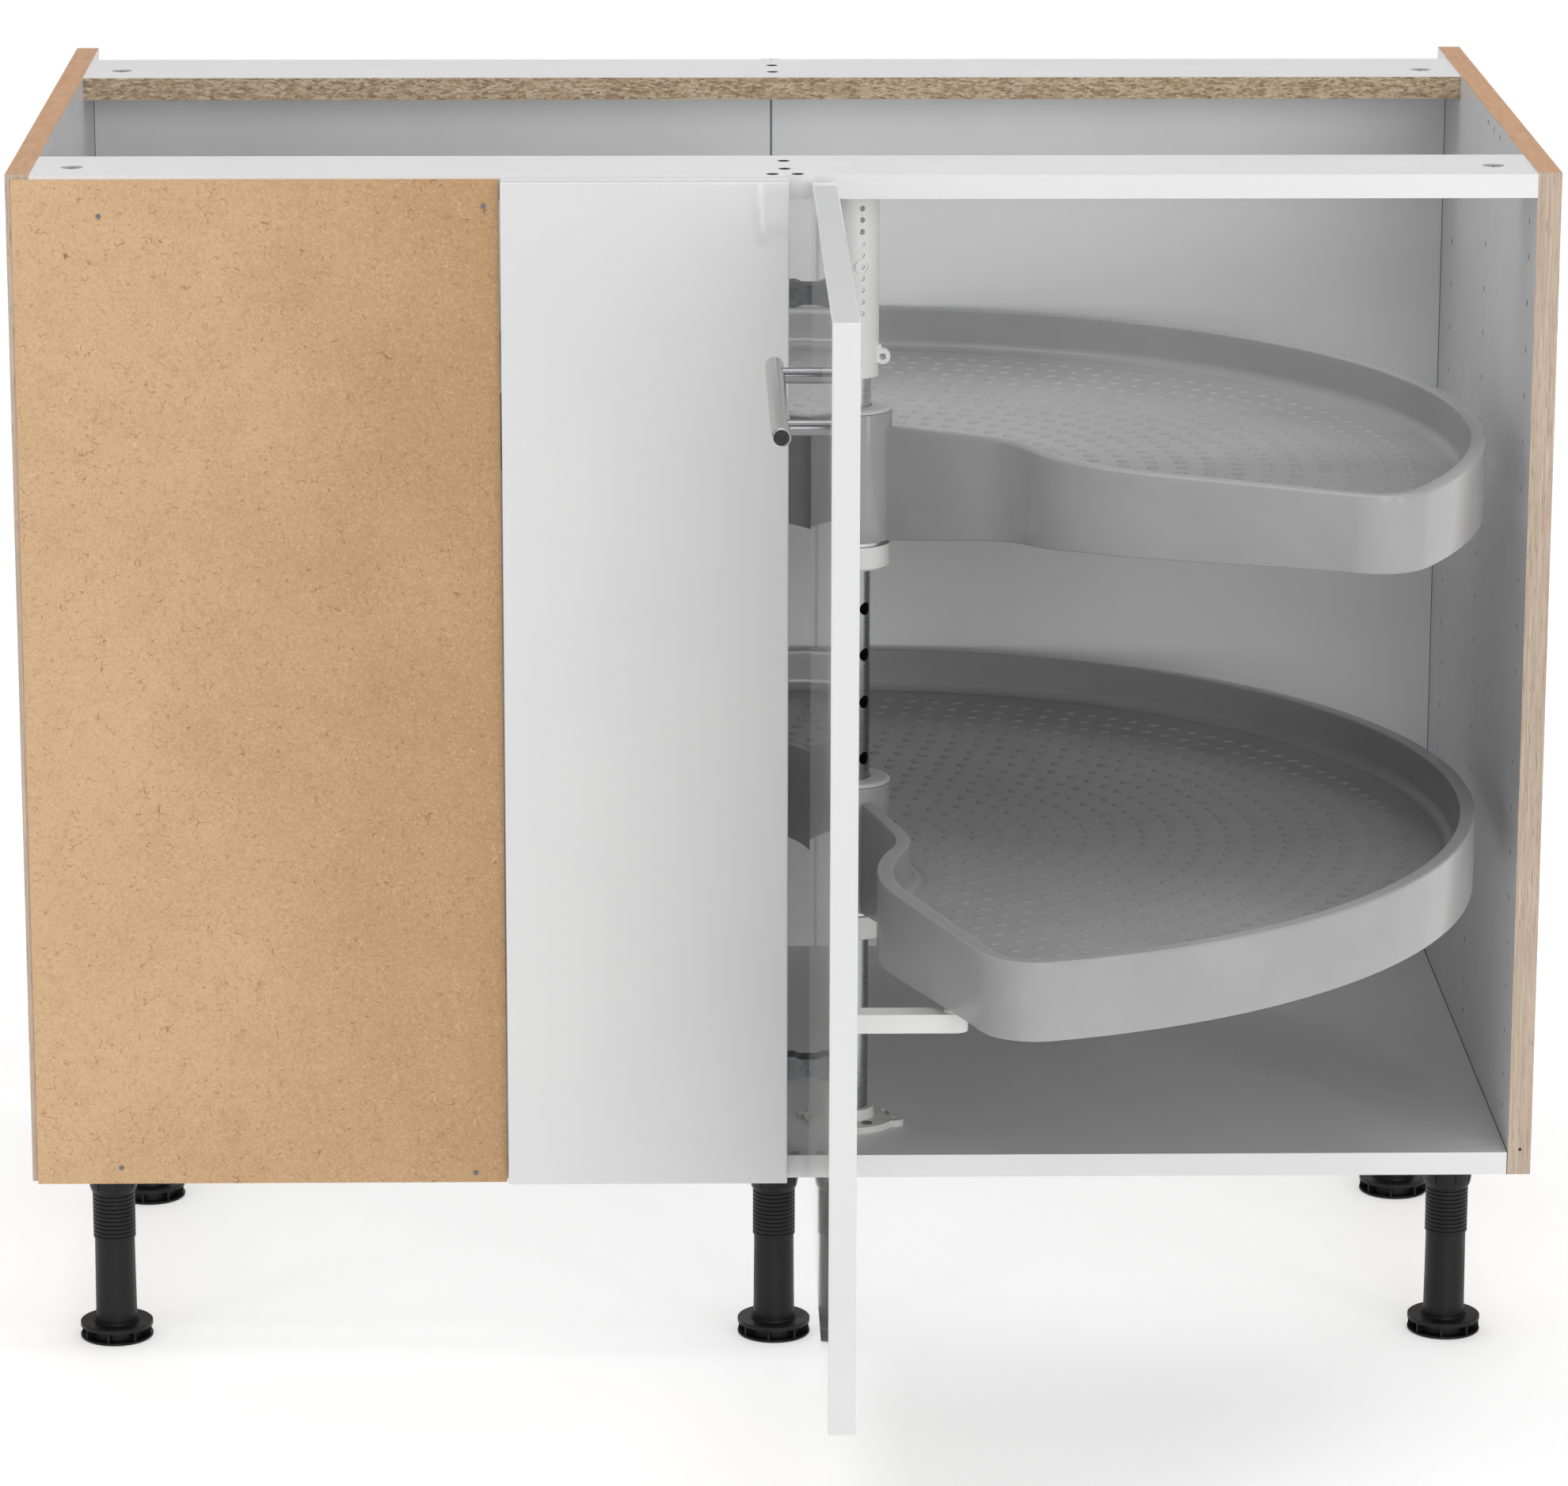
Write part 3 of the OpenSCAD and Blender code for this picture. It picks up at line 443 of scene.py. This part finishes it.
def bar_steel():
    """Brushed bar whose end faces are painted near black inside a bright ring: a painted dark reflection of what a
    polished end face mirrors.
    """
    lo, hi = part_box("handle_bar")
    cx, cz, r = (lo[0] + hi[0]) / 2, (lo[2] + hi[2]) / 2, (hi[2] - lo[2]) / 2
    m = Mat("bar_steel", Metallic=1.0, Anisotropic=0.4)
    x, y, z = m.sep(m.tc.outputs["Object"])[0:3]
    g = m.noise(m.at((900, 8, 900)), 1.0, 4, 0.65)
    base = m.mix(0.46, 0.50, m.remap(g, 0.3, 0.7, 0, 1))
    dx = m.math("SUBTRACT", x, float(cx))
    dz = m.math("SUBTRACT", z, float(cz))
    rr = m.math("SQRT", m.math("ADD", m.math("MULTIPLY", dx, dx), m.math("MULTIPLY", dz, dz)))
    ends = m.math("MAXIMUM", m.math("LESS_THAN", y, float(lo[1]) + 0.0004), m.math("GREATER_THAN", y, float(hi[1]) - 0.0004))
    # painted reflection: the end faces inside the ring get a near black base colour instead of steel
    painted_dark_end_face = m.math("MULTIPLY", ends, m.math("LESS_THAN", rr, float(r) * 0.82))
    painted_dark_reflection = m.mix(0.035, 0.06, m.remap(m.noise(m.at(), 420, 3), 0.3, 0.7, 0, 1))
    m.color(m.mix(base, painted_dark_reflection, painted_dark_end_face))
    m.rough(m.math("ADD", m.remap(g, 0.3, 0.7, 0.22, 0.26), m.remap(m.noise(m.at(), 60, 3), 0.5, 0.8, 0, 0.03)))
    m.normal(m.bump(g, 0.015, 0.0001))
    return m.m


M = {
    "white_board": white_board(),
    "side_board": side_board(),
    "edge_band": edge_band(),
    "rear_rail_board": rear_rail_board(),
    "back_board": back_board(),
    "grey_strip": grey_strip(),
    "hardboard": hardboard(),
    "gloss_front": gloss_front(),
    "steel": steel("steel", (0.46, 0.46, 0.465)),
    # dark_steel: hinge steel with its base colour painted dark, as painted shade on nickel-plated parts that sit
    # in shade
    "dark_steel": zinc("dark_steel", (0.16, 0.165, 0.17), (0.3, 0.42)),
    "zinc": zinc("zinc", (0.58, 0.585, 0.60)),
    "black_plastic": plastic("black_plastic", lin(21, 21, 22), (0.36, 0.48), 900, 0.18, ior=1.34),
    "white_plastic": plastic("white_plastic", lin(226, 226, 224), (0.30, 0.40), 1000, 0.06),
    "tray_plastic": plastic("tray_plastic", lin(160, 160, 161), (0.17, 0.23), 1300, 0.03),
    "cap_plastic": plastic("cap_plastic", lin(196, 196, 197), (0.28, 0.38), 1300, 0.05),
}

SLOT = {s["node"]: s["material_slot"] for s in frame["record"]["subparts"]}


def assign(node, mat):
    o = frame["nodes"][node]
    if not o.material_slots:
        o.data.materials.append(mat)
    for s in o.material_slots:
        s.material = mat


def tube_steel():
    """Steel tube with a painted highlight: its base colour is painted near white above the upper tray, where light
    falls on the post, and stays darker between and below the trays.
    """
    s = steel("tube_steel", (0.42, 0.425, 0.43), (0.24, 0.34), (160, 160, 900), 0.2)
    nt = s.node_tree
    b = next(n for n in nt.nodes if n.type == "BSDF_PRINCIPLED")
    old = b.inputs["Base Color"].links[0].from_socket
    z = nt.nodes.new("ShaderNodeSeparateXYZ")
    tc = next(n for n in nt.nodes if n.type == "TEX_COORD")
    nt.links.new(tc.outputs["Object"], z.inputs[0])
    # painted highlight: the base colour is lifted towards near white above the upper tray
    up = nt.nodes.new("ShaderNodeMapRange")
    nt.links.new(z.outputs[2], up.inputs[0])
    for i, v in enumerate((0.62, 0.66, 0.0, 0.8)):
        up.inputs[i + 1].default_value = v
    painted_highlight_mix = nt.nodes.new("ShaderNodeMix")
    painted_highlight_mix.data_type = "RGBA"
    nt.links.new(up.outputs[0], painted_highlight_mix.inputs[0])
    nt.links.new(old, painted_highlight_mix.inputs[6])
    painted_highlight_mix.inputs[7].default_value = (0.86, 0.86, 0.87, 1)
    nt.links.new(painted_highlight_mix.outputs[2], b.inputs["Base Color"])
    return s


# the handle posts use the bar's brushed steel with the base colour painted about half as bright: painted shade
own = {"post_tube": tube_steel(), "handle_bar": bar_steel(),
       "handle_posts": steel("post_steel_painted_shade", (0.24, 0.24, 0.245), (0.2, 0.26), (10, 900, 900), 0.3)}
for node, slot in SLOT.items():
    assign(node, own.get(node, M[slot]))

# ------------------------------------------------------------------ mesh helpers


def piece(name, verts, faces, mat, smooth=True):
    me = bpy.data.meshes.new(name)
    me.from_pydata([tuple(v) for v in verts], [], faces)
    me.validate()
    me.update()
    o = bpy.data.objects.new(name, me)
    scene.collection.objects.link(o)
    me.materials.append(mat)
    if smooth:
        me.polygons.foreach_set("use_smooth", [True] * len(me.polygons))
    return o


def from_bm(name, bm, mat, smooth=True):
    me = bpy.data.meshes.new(name)
    bmesh.ops.recalc_face_normals(bm, faces=bm.faces)
    bm.to_mesh(me)
    bm.free()
    o = bpy.data.objects.new(name, me)
    scene.collection.objects.link(o)
    me.materials.append(mat)
    me.polygons.foreach_set("use_smooth", [smooth] * len(me.polygons))
    return o


def sharp(o, degrees=35, flat=None):
    """Smooth shading with hard edges above an angle, and round every face larger than flat (m2)."""
    bm = bmesh.new()
    bm.from_mesh(o.data)
    lim = math.radians(degrees)
    for e in bm.edges:
        e.smooth = not (len(e.link_faces) == 2 and e.calc_face_angle(0) > lim)
        if flat and any(f.calc_area() > flat for f in e.link_faces):
            e.smooth = False
    bm.to_mesh(o.data)
    bm.free()
    return o


def apply_mods(o):
    dg = bpy.context.evaluated_depsgraph_get()
    dg.update()
    me = bpy.data.meshes.new_from_object(o.evaluated_get(dg))
    o.modifiers.clear()
    o.data = me
    return o


def board(name, lo, hi, mat, r=1.0, seg=3):
    """A board with rounded edges, corners in mm before the shift to the row frame."""
    bm = bmesh.new()
    bmesh.ops.create_cube(bm, size=1)
    for v in bm.verts:
        v.co = Vector(((lo[i] + (v.co[i] + 0.5) * (hi[i] - lo[i])) for i in range(3)))
    bmesh.ops.bevel(bm, geom=list(bm.edges) + list(bm.verts), offset=r, segments=seg, profile=0.5, affect="EDGES")
    for v in bm.verts:
        v.co = Vector((v.co.x * MM, (v.co.y + OY) * MM, v.co.z * MM))
    o = from_bm(name, bm, mat)
    return sharp(o, 40, 2e-3)


def lathe_data(profile, n=96):
    """Closed ring of revolution round Z from a closed (r, z) profile."""
    vs, fs = [], []
    k = len(profile)
    for i in range(n):
        a = 2 * math.pi * i / n
        for r, z in profile:
            vs.append((r * math.cos(a), r * math.sin(a), z))
    for i in range(n):
        j = (i + 1) % n
        for p in range(k):
            q = (p + 1) % k
            fs.append((i * k + p, j * k + p, j * k + q, i * k + q))
    return vs, fs


def place(vs, rim, turn):
    """Tray coordinates (mm) to the row frame (m)."""
    a = math.radians(-turn)
    ca, sa = math.cos(a), math.sin(a)
    return [((48 + x * ca - y * sa) * MM, (78 + OY + x * sa + y * ca) * MM, (rim + z) * MM) for x, y, z in vs]


# ------------------------------------------------------------------ trays

R, CR = 430.0, 38.0
X0, R1, R2 = 101.0, 75.0, 157.0            # start and radii of the step in the front wall
SA, WA = math.radians(35.0), math.radians(5.6)
HUB_R, HUB_UP, HUB_DOWN = 27.0, 10.0, 79.5


def bend_1(t):
    return np.array([X0 + R1 * math.sin(t), -R1 * (1 - math.cos(t))])


def bend_2(t):
    return bend_1(SA) + R2 * np.array([math.sin(t) + math.sin(SA), math.cos(SA) - math.cos(t)])


def half_outline():
    p0 = bend_2(WA)
    cp = p0 + CR * np.array([-math.sin(WA), math.cos(WA)])
    cu = np.array([math.cos(WA), math.sin(WA)])
    cb = cp @ cu
    ct = -cb + math.sqrt(cb * cb - (cp @ cp - (R - CR) ** 2))
    cc = cp + ct * cu
    ca = math.atan2(cc[1], cc[0])
    pts = [np.array([X0 * k / 22, 0.0]) for k in range(23)]
    pts += [bend_1(t) for t in np.linspace(0, SA, 15)[1:]]
    pts += [bend_2(t) for t in np.linspace(-SA, WA, 25)[1:]]
    pts += [p0 + cu * ct * k / 26 for k in range(1, 26)]
    for a in np.linspace(WA - math.pi / 2, ca, 25):
        pts.append(cc + CR * np.array([math.cos(a), math.sin(a)]))
    for a in np.linspace(ca, math.pi / 2, 130)[1:]:
        pts.append(R * np.array([math.cos(a), math.sin(a)]))
    return pts


half = half_outline()
line = np.array(half + [np.array([-p[0], p[1]]) for p in half[-2:0:-1]])
tang = np.roll(line, -1, 0) - np.roll(line, 1, 0)
tang /= np.linalg.norm(tang, axis=1)[:, None]
inward = np.stack([-tang[:, 1], tang[:, 0]], 1)


def wall_depth(p):
    """How deep the outer wall hangs at a point of the outline."""
    x, y = abs(p[0]), p[1]
    if y > 45:
        return 52.0
    return float(np.interp(x, [HUB_R, 205, 380], [HUB_DOWN, 59, 52]))


def rim_width(p):
    """The rim is narrower on the straight part beside the hub."""
    if p[1] > 20:
        return 10.5
    return float(np.interp(abs(p[0]), [70, 170], [8.6, 11.0]))


def arc(cx, cz, r, degrees):
    return [(cx + r * math.cos(math.radians(t)), cz + r * math.sin(math.radians(t))) for t in degrees]


def tray_profile(d, w):
    """Closed section of rim and wall: (inset, z) for a point with depth d and rim width w; first and last meet the floor."""
    p = []
    fl = -29.4
    # floor side, going up the inner wall
    p += [(w + 15.0, fl), (w + 12.6, fl), (w + 11.6, fl - 0.15), (w + 10.6, fl - 0.5), (w + 9.4, -30.0)]
    p += arc(w + 9.2, -22, 8, (255, 240, 225, 210, 195, 180))
    p += [(w + 0.7, -14), (w + 0.2, -6), (w, -1.4)]
    p += arc(w - 1.4, -1.4, 1.4, (30, 60, 90))
    p += [(w * 0.5, 0.04)]
    p += arc(1.7, -1.7, 1.7, (90, 112, 135, 158, 180))
    p += [(0.0, -8), (0.0, -d * 0.5), (0.0, -d + 1.6), (0.25, -d + 0.5), (0.9, -d), (1.7, -d), (2.35, -d + 0.5),
          (2.6, -d + 1.6), (2.6, -d * 0.5), (2.6, -6), (2.9, -3.6), (3.9, -2.5), (w - 4, -2.5), (w - 3, -3.2),
          (w - 2.4, -6), (w - 1.9, -14)]
    p += arc(w + 9.2, -22, 10.4, (180, 210, 240, 270))
    p += [(w + 15.0, -32.4)]
    return p


def inside(pt, margin):
    """Is the point inside the outline by at least the margin?"""
    d = line - pt
    i = int(np.argmin((d ** 2).sum(1)))
    return (-(d[i]) @ inward[i]) > margin and np.hypot(*pt) < R - margin


def tray(name, rim, turn, body):
    n = len(line)
    prof = [tray_profile(wall_depth(p), rim_width(p)) for p in line]
    k = len(prof[0])
    vs, fs = [], []
    for i in range(n):
        for d, z in prof[i]:
            q = line[i] + inward[i] * d
            vs.append((q[0], q[1], z))
    for i in range(n):
        j = (i + 1) % n
        for s in range(k - 1):
            fs.append((i * k + s, i * k + s + 1, j * k + s + 1, j * k + s))
    fs.append(tuple(i * k for i in range(n)))
    fs.append(tuple(i * k + k - 1 for i in reversed(range(n))))
    bm = bmesh.new()
    for v in vs:
        bm.verts.new(v)
    bm.verts.ensure_lookup_table()
    for f in fs:
        bm.faces.new([bm.verts[i] for i in f])
    # ribs under the floor
    for a in range(30, 151, 30):
        t = math.radians(a)
        u, w = Vector((math.cos(t), math.sin(t), 0)), Vector((-math.sin(t), math.cos(t), 0))
        r0, r1 = 25.5, 409.0
        ring = []
        for r in (r0, r1):
            for s, z in ((-1.1, -32.0), (1.1, -32.0), (0.85, -44.0), (-0.85, -44.0)):
                drop = 0.0 if r == r0 or z > -40 else 3.0
                ring.append(bm.verts.new(u * r + w * s + Vector((0, 0, z + drop))))
        a0, b0 = ring[:4], ring[4:]
        for q in range(4):
            bm.faces.new((a0[q], a0[(q + 1) % 4], b0[(q + 1) % 4], b0[q]))
        bm.faces.new(a0[::-1])
        bm.faces.new(b0)
    o = from_bm(name, bm, M["tray_plastic"])
    # the hub goes through the shell
    vs, fs = lathe_data([(0.001, -100), (20, -100), (20, 30), (0.001, 30)], 64)
    cut = piece("cut", vs, fs, M["tray_plastic"])
    mod = o.modifiers.new("hole", "BOOLEAN")
    mod.operation, mod.solver, mod.object = "DIFFERENCE", "EXACT", cut
    apply_mods(o)
    bpy.data.objects.remove(cut)
    bm = bmesh.new()
    bm.from_mesh(o.data)
    # hub
    prof = [(12.56, -HUB_DOWN)]
    prof += [(HUB_R - 0.7, -HUB_DOWN), (HUB_R - 0.2, -HUB_DOWN + 0.25), (HUB_R, -HUB_DOWN + 0.8),
             (HUB_R, -60), (HUB_R, -30), (HUB_R, 8.6), (HUB_R - 0.25, 9.5), (HUB_R - 0.9, 9.9), (12.56, 9.9)]
    hv, hf = lathe_data(prof, 96)
    ring = [bm.verts.new(v) for v in hv]
    for f in hf:
        bm.faces.new([ring[i] for i in f])
    # raised dots of the floor, on arcs round the hub, each row set off by half a step
    rad, hgt, rows = 4.5, 0.95, []
    r, row = 48.0, 0
    while r < R - 30:
        m = max(6, round(math.pi * r / 17.6))
        for q in range(m + 1):
            a = math.pi * (q + (0.5 if row % 2 else 0.0)) / m
            pt = np.array([r * math.cos(a), r * math.sin(a)])
            if inside(pt, 27.0):
                rows.append(pt)
        # the part in front of the hub's own line
        for s in (-1, 1):
            step = 17.6 / r
            for q in range(1, 4):
                a = (-(q - (0.5 if row % 2 else 0.0)) * step) if s > 0 else math.pi + (q - (0.5 if row % 2 else 0.0)) * step
                pt = np.array([r * math.cos(a), r * math.sin(a)])
                if q - (0.5 if row % 2 else 0.0) > 0.4 and inside(pt, 27.0):
                    rows.append(pt)
        r += 19.6
        row += 1
    seg = 14
    levels = [(1.0, -0.5), (0.97, 0.10), (0.86, 0.42), (0.62, 0.76), (0.3, 0.93)]
    for pt in rows:
        rings = []
        for f, h in levels:
            rings.append([bm.verts.new((pt[0] + rad * f * math.cos(2 * math.pi * s / seg),
                                        pt[1] + rad * f * math.sin(2 * math.pi * s / seg),
                                        -29.4 + hgt * h)) for s in range(seg)])
        for a, b in zip(rings, rings[1:]):
            for s in range(seg):
                bm.faces.new((a[s], a[(s + 1) % seg], b[(s + 1) % seg], b[s]))
        top = bm.verts.new((pt[0], pt[1], -29.4 + hgt))
        for s in range(seg):
            bm.faces.new((rings[-1][s], rings[-1][(s + 1) % seg], top))
        bm.faces.new(rings[0][::-1])
    bmesh.ops.recalc_face_normals(bm, faces=bm.faces)
    bm.to_mesh(o.data)
    bm.free()
    co = place([v.co for v in o.data.vertices], rim, turn)
    for v, c in zip(o.data.vertices, co):
        v.co = c
    o.data.update()
    o.data.polygons.foreach_set("use_smooth", [True] * len(o.data.polygons))
    sharp(o, 32)
    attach(o, body)
    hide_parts(body, *(body.replace("_tray", part) for part in ("_ribs", "_wall", "_hub")))
    # cap on the hub
    prof = [(12.9, 10.0), (26.6, 10.0), (27.0, 10.3), (27.0, 10.9)]
    for t in range(0, 91, 15):
        a = math.radians(t)
        prof.append((23.6 + 3.4 * math.cos(a), 10.9 + 2.1 * math.sin(a)))
    prof += [(19, 13.15), (14.2, 13.2), (13.2, 12.9), (12.9, 12.3)]
    cv, cf = lathe_data(prof, 96)
    c = piece(name.replace("shell", "cap"), place(cv, rim, turn), cf, M["cap_plastic"])
    sharp(c, 40)
    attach(c, body)
    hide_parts(body.replace("_tray", "_cap"))
    return o


tray("upper_tray_shell", 645.5, 32.5, "upper_tray")
tray("lower_tray_shell", 383.5, 76.0, "lower_tray")

# ------------------------------------------------------------------ fronts

filler = board("filler_front", (-189.1, -17, 131.2), (2.4, 0, 827.2), M["gloss_front"], 1.0)
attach(filler, "cabinet")
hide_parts("filler_panel")

door = board("door_front", (17.4, -501.6, 129.5), (34.4, -5.6, 825.5), M["gloss_front"], 1.0)
for z in (204.0, 745.5):
    vs, fs = lathe_data([(0.0001, -12.6), (17.5, -12.6), (17.5, 8), (0.0001, 8)], 64)
    vs = [((34.4 + z2) * MM, (-28.1 + y2 + OY) * MM, (z + x2) * MM) for x2, y2, z2 in vs]
    cut = piece("cut", vs, fs, M["gloss_front"])
    mod = door.modifiers.new("seat", "BOOLEAN")
    mod.operation, mod.solver, mod.object = "DIFFERENCE", "EXACT", cut
    apply_mods(door)
    bpy.data.objects.remove(cut)
sharp(door, 40, 2e-3)
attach(door, "door")
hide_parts("door_board")

# ------------------------------------------------------------------ floor, light, camera

bm = bmesh.new()
bmesh.ops.create_grid(bm, x_segments=1, y_segments=1, size=30)
for v in bm.verts:
    v.co.z = -0.0002
floor = from_bm("floor", bm, floor_mat(), False)

world = bpy.data.worlds.new("studio")
scene.world = world
world.use_nodes = True
world.node_tree.nodes["Background"].inputs[0].default_value = (1, 1, 1, 1)
world.node_tree.nodes["Background"].inputs[1].default_value = 0.45


def area(name, loc, target, size, power):
    d = bpy.data.lights.new(name, "AREA")
    d.shape = "RECTANGLE"
    d.size, d.size_y = size
    d.energy = power
    o = bpy.data.objects.new(name, d)
    scene.collection.objects.link(o)
    o.location = loc
    o.rotation_mode = "QUATERNION"
    o.rotation_quaternion = (Vector(target) - Vector(loc)).to_track_quat("-Z", "Y")
    return o


# wide soft light from the front right
key = bpy.data.lights.new("front_light", "SUN")
key.energy = 0.72
key.angle = math.radians(24)
keyo = bpy.data.objects.new("front_light", key)
scene.collection.objects.link(keyo)
az, el = math.radians(12), math.radians(10)
back = Vector((math.sin(az) * math.cos(el), -math.cos(az) * math.cos(el), math.sin(el)))
keyo.rotation_mode = "QUATERNION"
keyo.rotation_quaternion = (-back).to_track_quat("-Z", "Y")
area("top_light", (0.0, 0.15, 3.4), (0.0, 0.15, 0.6), (3.2, 2.2), 45)
area("right_strip", (2.3, -2.3, 1.15), (0.1, 0.1, 0.5), (0.35, 1.5), 9)
area("left_strip", (-2.5, -2.0, 1.15), (0.0, 0.1, 0.5), (0.35, 1.5), 7)
area("brow_strip", (0.0, -1.45, 2.7), (0.0, 0.0, 0.5), (2.6, 0.3), 6)

cam = bpy.data.cameras.new("camera")
cam.sensor_width = 36.0
cam.lens = 8190.0 / 1980 * 36.0
cam.clip_start, cam.clip_end = 0.1, 100
camo = bpy.data.objects.new("camera", cam)
scene.collection.objects.link(camo)
pitch, yaw, roll = math.radians(14.56), math.radians(1.191), math.radians(0.118)
fwd = Vector((math.sin(yaw) * math.cos(pitch), math.cos(yaw) * math.cos(pitch), -math.sin(pitch)))
right = Vector((math.cos(yaw), -math.sin(yaw), 0))
up = right.cross(fwd)
r2 = right * math.cos(roll) + up * math.sin(roll)
u2 = -right * math.sin(roll) + up * math.cos(roll)
rot = Matrix((r2, u2, -fwd)).transposed()
camo.matrix_world = Matrix.Translation((-0.08862, -4.29165, 1.54626)) @ rot.to_4x4()
scene.camera = camo
